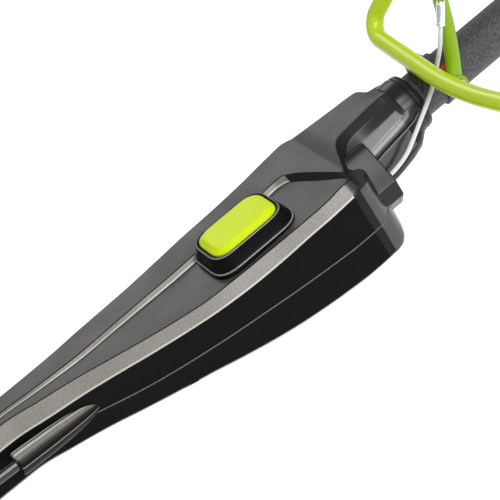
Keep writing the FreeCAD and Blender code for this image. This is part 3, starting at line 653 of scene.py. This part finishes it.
# The side's front zones carry the painted highlight on the rounded corner, the lip's light band is
# a painted highlight, and the ledges by the parting line are painted light.
LOWER_SIDE = ("body_black", "body_black", "corner_dim", "corner_satin", "under_satin")
LOWER_LIP = ("lip_satin", "lip_satin", "lip_satin", "under_satin", "under_satin")
LOWER_STRIPS = [(None, "edge_satin", None), (None, LOWER_SIDE, None), (None, LOWER_LIP, None),
                (None, "body_black", None), (None, LOWER_LIP, None), (None, LOWER_SIDE, None),
                (None, "edge_satin", None)]

# Between these stations the corners and strips change from the body's to the neck's.
BODY_END = -72.0
NECK_START = -50.0
UPPER_REAR = -580.0
LOWER_REAR = -465.0
HOUSING_FRONT = -6.0
# The shape turns quickly ahead of the front's start and beside the battery dock's end.
FRONT_START = -95.0
DOCK_SPAN = (-470.0, -400.0)
CLOSE_SPACING = 0.8
WIDE_SPACING = 4.0
CLOSE_ENOUGH = 0.01
# Width of the narrow strips of painted highlight and painted shade beside the creases
STRIP_WIDTH = 0.9
# Strips grow with the corner's radius towards the neck, up to a share of the face beside it.
STRIP_GROWTH = 2.5
STRIP_SHARE = 0.3
WALL = 2.0
CURVE_STEPS = 5
BOX_STEPS = 6


def stations_between(first, last):
    """Closely spaced where the shape turns quickly, wider along the plain grip."""
    xs = [first]
    while xs[-1] < last - CLOSE_ENOUGH:
        x = xs[-1]
        quick = x > FRONT_START or DOCK_SPAN[0] < x < DOCK_SPAN[1]
        xs.append(min(x + (CLOSE_SPACING if quick else WIDE_SPACING), last))
    return xs


def strip_corners(corners, radii, strips, share):
    """Adds the edges of the narrow strips, which carry painted highlight and shade lines, to a
    section's corners, with the paint between.
    """
    line, bends, paints = [corners[0]], [radii[0]], []
    for i, (first, wide, last) in enumerate(strips):
        start, end = corners[i], corners[i + 1]
        along = (end - start).normalized()
        if first:
            width = STRIP_WIDTH + share * STRIP_GROWTH * radii[i]
            line.append(start + along * min(width, STRIP_SHARE * (end - start).length))
            bends.append(0)
            paints.append(first)
        paints.append(wide)
        if last:
            width = STRIP_WIDTH + share * STRIP_GROWTH * radii[i + 1]
            line.append(end - along * min(width, STRIP_SHARE * (end - start).length))
            bends.append(0)
            paints.append(last)
        line.append(end)
        bends.append(radii[i + 1])
    return line, bends, paints


def paint_at(choice, x):
    """A strip has one paint, or one for each zone along the housing."""
    zone = sum(x > edge for edge in PAINT_EDGES)
    return choice if isinstance(choice, str) else choice[zone]


def shell(name, rows, radii, strips, first, replaces):
    """One half of the housing, lofted along its rows."""
    lines = [smooth_line(row) for row in rows]
    points, looks = [], []
    columns = 0
    xs = stations_between(first, HOUSING_FRONT)
    for x in xs:
        share = ease(x, BODY_END, NECK_START)
        blend = [a + (b - a) * share for a, b in radii]
        corners, bends, paints = strip_corners([line(x) for line in lines], blend, strips, share)
        groups = curved_corners(corners, bends, CURVE_STEPS)
        columns = sum(len(group) for group in groups)
        points += [place(x, y, z) for group in groups for y, z in group]
        for i, choice in enumerate(paints):
            # Half of each corner's curve belongs to the strips on its two sides.
            before = (len(groups[i]) - 1) // 2 if i else 0
            after = (len(groups[i + 1]) - 1) // 2 if i + 2 < len(groups) else 0
            looks += [paint_at(choice, x)] * (len(groups[i]) - before + after)
    names = sorted(set(looks))
    faces = grid_faces(len(xs), columns)
    indices = [names.index(look) for look in looks[:len(faces)]]
    return piece(name, points, faces, names, "handle", replaces, indices)


def slab(name, size, corner, middle, *levels):
    """Closed upright block with rounded corners between two levels, used as a cutter."""
    outline = rounded_box(size, corner, CURVE_STEPS)
    points = [place(middle[0] + x, middle[1] + y, z) for z in levels for x, y in outline]
    faces = closed_faces(len(levels), len(outline))
    block = piece(name, points, faces, ["body_black"], "handle")
    face_out(block.data)
    return block


def rounded_box(size, radius, steps=BOX_STEPS):
    """Outline of a rectangle with rounded corners, about its middle."""
    half_x, half_y = size[0] / 2, size[1] / 2
    corners = [Vector((sx * half_x, sy * half_y))
               for sx, sy in ((-1, -1), (1, -1), (1, 1), (-1, 1))]
    curves = curved_corners(corners, [radius] * len(corners), steps, True)
    return [point for curve in curves for point in curve]


BUTTON = (-122.3, -7.4)
# Openings: (length and width), corner radius, middle, and the levels it is cut between
BUTTON_SLOT = ((43.0, 29.6), 9.8, BUTTON, -5, 40)
LOCK_SLOT = ((16.8, 10.8), 1.0, (-323.0, 0.0), 5, 40)
TRIGGER_SLOT = ((58.0, 15.0), 1.0, (-327.0, 0.0), -60, -12)
LIP_NOTCH = ((8.5, 40.0), 1.0, (-193.2, -45.0), -60, -28.3)
# Outlines of the pieces added to the shells, as (y, z), and the x stations they run between
ROOF_OUTLINE = [(-34.92, -2), (34.92, -2), (34.92, 14), (30.07, 22), (-30.07, 21.4),
                (-34.92, 14)]
ROOF_SPAN = (-579.8, -577.5)
RAIL_OUTLINE = [(-35, -2), (-12, -2), (-12, -10), (-20, -10), (-20, -14), (20, -14), (20, -10),
                (12, -10), (12, -2), (35, -2), (35, 0.5), (-35, 0.5)]
RAIL_SPAN = (-577.4, -465.2)
BLOCK_OUTLINE = [(-13, 8.8), (-15.5, 8.9), (-19.5, 6.2), (-33.4, -11.0), (-33.5, -20.5),
                 (-25, -30), (-13, -30)]
BLOCK_SPAN = (-66, -42.4)
# Name, outline, span, paint and width of the softened edges
ADDED_PIECES = [
    ("roof_end", ROOF_OUTLINE, ROOF_SPAN, "body_black", 0.8),
    ("battery_rail", RAIL_OUTLINE, RAIL_SPAN, "body_black", 0.5),
    ("cable_block", BLOCK_OUTLINE, BLOCK_SPAN, "collar_satin", 0.9),
]


def build_housing():
    upper = shell("upper_housing", upper_rows(), UPPER_RADII, UPPER_STRIPS, UPPER_REAR,
                  ["upper_shell"])
    thicken(upper, -WALL)
    carve(upper, [slab("cut_a", *LOCK_SLOT), slab("cut_b", *BUTTON_SLOT)])
    even_normals(upper)
    lower = shell("lower_housing", lower_rows(), LOWER_RADII, LOWER_STRIPS, LOWER_REAR,
                  ["lower_shell"])
    thicken(lower, WALL)
    carve(lower, [slab("cut_c", *TRIGGER_SLOT), slab("cut_d", *LIP_NOTCH)])
    even_normals(lower)
    for name, outline, span, paint, edge in ADDED_PIECES:
        prism(name, outline, span, paint, "handle", edge)


# Painted highlight and painted shade bands round a guard socket, from its top down: lighter where
# its sides face up, darker lower down
SOCKET_SECTORS = [(0.985, "edge_light"), (0.92, "edge_satin"), (0.78, "top_satin"),
                  (0.64, "wall_dark"), (0.45, "line_black"), (0.06, "edge_satin"),
                  (0.0, "wall_dark")]
# Round profiles, as (distance along the axis, radius). The last radii of the socket turn inwards,
# round the rod's hole.
SOCKET = [(0.0, 0.2), (0.8, 1.5), (2.5, 2.7), (6.0, 3.9), (12.0, 5.0), (20.0, 5.8), (32.0, 6.4),
          (48.0, 6.8), (52.6, 6.8), (53.3, 6.5), (53.6, 6.0), (53.6, 3.9), (53.2, 3.3),
          (46.0, 3.2)]
SOCKET_TIP = (-236, 17.5, -8)
SOCKET_MOUTH = (-289, 22.4, -1)
COLLAR = [(0.0, 15.6), (0.3, 16.7), (1.0, 17.3), (8.0, 17.4), (8.6, 17.1), (8.8, 16.3),
          (9.4, 16.2), (9.7, 16.8), (10.2, 17.0), (12.6, 16.7), (13.4, 16.0), (13.7, 14.9),
          (13.7, 13.1)]
COLLAR_ENDS = ((-14.2, 0, 0), (-0.5, 0, 0))
BOOT = [(0.0, 2.4), (7.2, 2.4), (7.7, 2.1), (8.0, 1.6)]
BOOT_ENDS = ((-50, -28.5, -9.5), (-38, -28.5, -9.5))


def build_sockets():
    """Bulges on both sides of the handle that hold the ends of the hand guard."""
    for side, name in ((NEAR_SIDE, "left"), (FAR_SIDE, "right")):
        ends = [(x, side * y, z) for x, y, z in (SOCKET_TIP, SOCKET_MOUTH)]
        turned("guard_socket_" + name, *ends, SOCKET, "corner_satin", "handle", "black_shell",
               sectors=SOCKET_SECTORS)


def build_collar():
    turned("collar_ring", *COLLAR_ENDS, COLLAR, "collar_satin", "handle", "black_shell",
           ["front_collar"])
    turned("cable_boot", *BOOT_ENDS, BOOT, "gloss_black", "handle", "rubber", ["cable_gland"])


# Control cable

CABLE_EXIT = Vector((-43.0, -28.5, -9.5))
# The corners that pull on the cable's line on its way up to the ferrule
CABLE_CORNERS = [Vector((-14.3, -23.3, -0.6)), Vector((6.5, -16.5, 8.0)),
                 Vector((14.0, -19.5, 20.0))]
FERRULE = (Vector((21.3, -30.5, 43.6)), Vector((28.0, -30.5, 55.8)))
INSIDE_GLAND = Vector((10, 0, 0))
OUT_OF_GLAND = Vector((9, 0, 0))
BELOW_FERRULE = 10
INTO_FERRULE = 2
CABLE_R = 1.2
STRANDS = 6
LAY_LENGTH = 9.0
# The rope's radius as a share of CABLE_R: at the valleys, and what the crests add
VALLEY = 0.80
CREST = 0.24
CREST_POWER = 0.7
CABLE_STEP = 0.5
CABLE_SIDES = 48
SLEEVE = [(0.0, 1.35), (0.2, 1.9), (0.6, 2.45), (1.4, 2.5), (1.7, 2.15), (2.2, 2.15),
          (2.5, 2.45), (11.4, 2.45), (11.7, 2.15), (12.2, 2.15), (12.5, 2.4), (13.5, 2.3),
          (13.9, 1.6)]


def cable_route():
    along = (FERRULE[1] - FERRULE[0]).normalized()
    return [CABLE_EXIT - INSIDE_GLAND, CABLE_EXIT + OUT_OF_GLAND, *CABLE_CORNERS,
            FERRULE[0] - along * BELOW_FERRULE, FERRULE[0] + along * INTO_FERRULE]


def spline(route, spacing):
    """Points along the smooth quadratic spline that a route's corners pull on."""
    joints = [route[0]] + [(a + b) / 2 for a, b in zip(route[1:], route[2:-1])] + [route[-1]]
    line = []
    for start, pull, end in zip(joints, route[1:-1], joints[1:]):
        count = max(2, round(((pull - start).length + (end - pull).length) / spacing))
        for k in range(count):
            t = k / count
            line.append(start * (1 - t) ** 2 + pull * 2 * t * (1 - t) + end * t ** 2)
    return line + [route[-1]]


def rope_points(line):
    """Rings round a line, with the outline of bundled strands that twist along it."""
    points = []
    side = Vector((0, 1, 0))
    travelled = 0.0
    for i, centre in enumerate(line):
        ahead = (line[min(i + 1, len(line) - 1)] - line[max(i - 1, 0)]).normalized()
        side = (side - ahead * side.dot(ahead)).normalized()
        up = ahead.cross(side)
        twist = 2 * math.pi * travelled / LAY_LENGTH
        for k in range(CABLE_SIDES):
            angle = 2 * math.pi * k / CABLE_SIDES
            bundle = abs(math.cos(STRANDS / 2 * (angle + twist)))
            radius = CABLE_R * (VALLEY + CREST * bundle ** CREST_POWER)
            points.append(centre + (side * math.cos(angle) + up * math.sin(angle)) * radius)
        if i + 1 < len(line):
            travelled += (line[i + 1] - centre).length
    return points


def build_cable():
    """Wire rope that bends between the handle and the lever, and the sleeve at its end."""
    line = spline(cable_route(), CABLE_STEP)
    faces = closed_faces(len(line), CABLE_SIDES)
    mesh = bpy.data.meshes.new("cable_rope")
    mesh.from_pydata([place(*p) for p in rope_points(line)], [], faces)
    mesh.materials.append(PAINT["cable_sleeve"])
    mesh.polygons.foreach_set("use_smooth", [True] * len(faces))
    face_out(mesh)
    rope = bpy.data.objects.new("cable_rope", mesh)
    bpy.context.scene.collection.objects.link(rope)
    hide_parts("control_cable")
    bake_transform(rope)
    turned("ferrule_sleeve", *FERRULE, SLEEVE, "ferrule_metal", "control_lever", "steel",
           ["cable_ferrule"])


# Power button and its bezel

# Layers, each joined to the one before: length, width, corner radius and height
BEZEL = [(54.6, 40.4, 13.0, 2.0), (54.6, 40.4, 13.0, 6.6), (54.3, 40.1, 12.8, 7.3),
         (53.8, 39.6, 12.6, 7.7), (53.0, 38.8, 12.4, 7.8), (51.4, 37.2, 12.0, 8.1),
         (47.2, 33.2, 11.2, 14.0), (46.6, 32.8, 11.0, 14.8), (46.0, 32.3, 10.8, 15.15),
         (45.4, 31.8, 10.6, 15.3), (44.2, 30.6, 10.2, 15.3), (43.4, 29.9, 9.9, 15.0),
         (43.0, 29.6, 9.8, 14.4), (43.0, 29.6, 9.8, 2.0)]
# Which of the bezel's paints each band between two layers has; the grey bands are a painted
# highlight on the base flange's edge and on the top rim.
BEZEL_PAINTS = ["bezel_dark", "painted_rim_highlight"]
BEZEL_BANDS = [0, 0, 1, 1, 0, 0, 0, 1, 1, 0, 0, 0, 0]
CAP = [(42.4, 29.0, 9.6, 9.0), (42.4, 29.0, 9.6, 15.2), (42.1, 28.7, 9.5, 15.6),
       (41.4, 28.0, 9.2, 15.9), (37.0, 23.4, 7.6, 17.6), (36.2, 22.6, 7.2, 17.85),
       (35.0, 21.4, 6.6, 17.97), (33.0, 19.4, 5.8, 18.0)]


def stack(name, layers, paints, body, replaces, bands=()):
    """Rounded rectangles round the button's middle: closed, or open when it has painted bands."""
    outlines = [rounded_box((length, width), corner) for length, width, corner, _ in layers]
    points = [place(BUTTON[0] + x, BUTTON[1] + y, layer[3])
              for layer, outline in zip(layers, outlines) for x, y in outline]
    count = len(outlines[0])
    marks = [band for band in bands for _ in range(count)]
    faces = grid_faces(len(layers), count, True) if bands else closed_faces(len(layers), count)
    thing = piece(name, points, faces, paints, body, replaces, marks)
    face_out(thing.data)
    even_normals(thing)


def build_button():
    stack("bezel_ring", BEZEL, BEZEL_PAINTS, "handle", ["button_bezel"],
          BEZEL_BANDS)
    stack("power_button_cap", CAP, ["lime_cap"], "power_button",
          ["power_button"])


# Springs: (node, joint, line of travel, fixed end, share of the length left at the limit)
UP = (0, 0, 1)
AHEAD = (1, 0, 0)
SPRINGS = [
    ("button_spring", "power_button_press", UP, (-122.3, -7.4, -1.0), 0.74),
    ("trigger_spring", "trigger_pull", UP, (-342.0, 0.0, 9.0), 0.52),
    ("lock_off_spring", "lock_off_press", UP, (-323.0, 0.0, 9.0), 0.27),
    ("latch_springs", "battery_latch_press", AHEAD, (-571.0, 0.0, -8.0), 0.30),
    ("bump_spring", "bump_knob_press", UP, (905.0, 0.0, -54.5), 0.17),
]


def press_springs():
    """Gives each spring a mesh of its own."""
    for node, joint, axis, fixed_end, keep in SPRINGS:
        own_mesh(frame["nodes"][node])


# Camera, light and floor

CAMERA_AZIMUTH = -12.0
CAMERA_ELEVATION = 33.0
CAMERA_ROLL = 33.466
CAMERA_DISTANCE = 1.0
CAMERA_ASIDE = 0.00157
CAMERA_RAISE = -0.00621
CAMERA_LENS = 135.26
SENSOR = 36.0
CLIP_START = 0.05
CLIP_END = 50.0
LOOK_AT = place(-120.0, 0.0, 0.0)


def place_camera():
    """Aims the camera at the housing, and rolls it so that the tube climbs to the right."""
    azimuth = math.radians(CAMERA_AZIMUTH)
    elevation = math.radians(CAMERA_ELEVATION)
    roll = math.radians(CAMERA_ROLL)
    back = Vector((math.sin(azimuth) * math.cos(elevation),
                   -math.cos(azimuth) * math.cos(elevation), math.sin(elevation)))
    level = Vector((math.cos(azimuth), math.sin(azimuth), 0))
    upright = back.cross(level)
    right = level * math.cos(roll) - upright * math.sin(roll)
    up = level * math.sin(roll) + upright * math.cos(roll)
    lens = bpy.data.cameras.new("camera")
    lens.lens = CAMERA_LENS
    lens.sensor_width = SENSOR
    lens.clip_start = CLIP_START
    lens.clip_end = CLIP_END
    camera = bpy.data.objects.new("camera", lens)
    turn = Matrix((right, up, back)).transposed().to_4x4()
    spot = LOOK_AT + right * CAMERA_ASIDE + up * CAMERA_RAISE + back * CAMERA_DISTANCE
    camera.matrix_world = Matrix.Translation(spot) @ turn
    bpy.context.scene.collection.objects.link(camera)
    bpy.context.scene.camera = camera


def softbox(name, direction, distance, size, power):
    """Square area light aimed at the handle."""
    lamp = bpy.data.lights.new(name, "AREA")
    lamp.size = size
    lamp.energy = power
    thing = bpy.data.objects.new(name, lamp)
    away = Vector(direction).normalized()
    thing.location = LOOK_AT + away * distance
    thing.rotation_mode = "QUATERNION"
    thing.rotation_quaternion = away.to_track_quat("Z", "Y")
    bpy.context.scene.collection.objects.link(thing)


FLOOR_HALF = 12.0
FLOOR_GREY = (0.9, 0.9, 0.9)
FLOOR_GLOW = 0.6
SKY_STRENGTH = 0.5
WHITE = (1, 1, 1, 1)
# Name, direction from the handle, distance, size and power
SOFTBOXES = [
    ("front_soft", (0.17, -0.85, 0.50), 1.6, 0.6, 12),
    ("high_soft", (0.17, -0.54, 0.81), 1.6, 0.5, 8),
    ("back_soft", (0.17, 0.82, 0.60), 1.8, 0.8, 6),
]


def build_floor():
    mesh = bpy.data.meshes.new("floor")
    corners = ((-1, -1), (1, -1), (1, 1), (-1, 1))
    mesh.from_pydata([(x * FLOOR_HALF, y * FLOOR_HALF, 0) for x, y in corners], [],
                     [(0, 1, 2, 3)])
    floor = bpy.data.objects.new("floor", mesh)
    material, shader = principled("floor_paper", FLOOR_GREY, roughness=0.9, specular=0.1)
    shader.inputs["Emission Color"].default_value = WHITE
    shader.inputs["Emission Strength"].default_value = FLOOR_GLOW
    mesh.materials.append(material)
    bpy.context.scene.collection.objects.link(floor)


def build_stage():
    build_floor()
    world = bpy.data.worlds.new("studio")
    bpy.context.scene.world = world
    world.use_nodes = True
    sky = world.node_tree.nodes["Background"]
    sky.inputs["Color"].default_value = WHITE
    sky.inputs["Strength"].default_value = SKY_STRENGTH
    for look in SOFTBOXES:
        softbox(*look)
    bpy.context.scene.view_settings.view_transform = "Standard"


paint_cad_nodes()
build_housing()
build_button()
build_sockets()
build_collar()
build_cable()
press_springs()
place_camera()
build_stage()
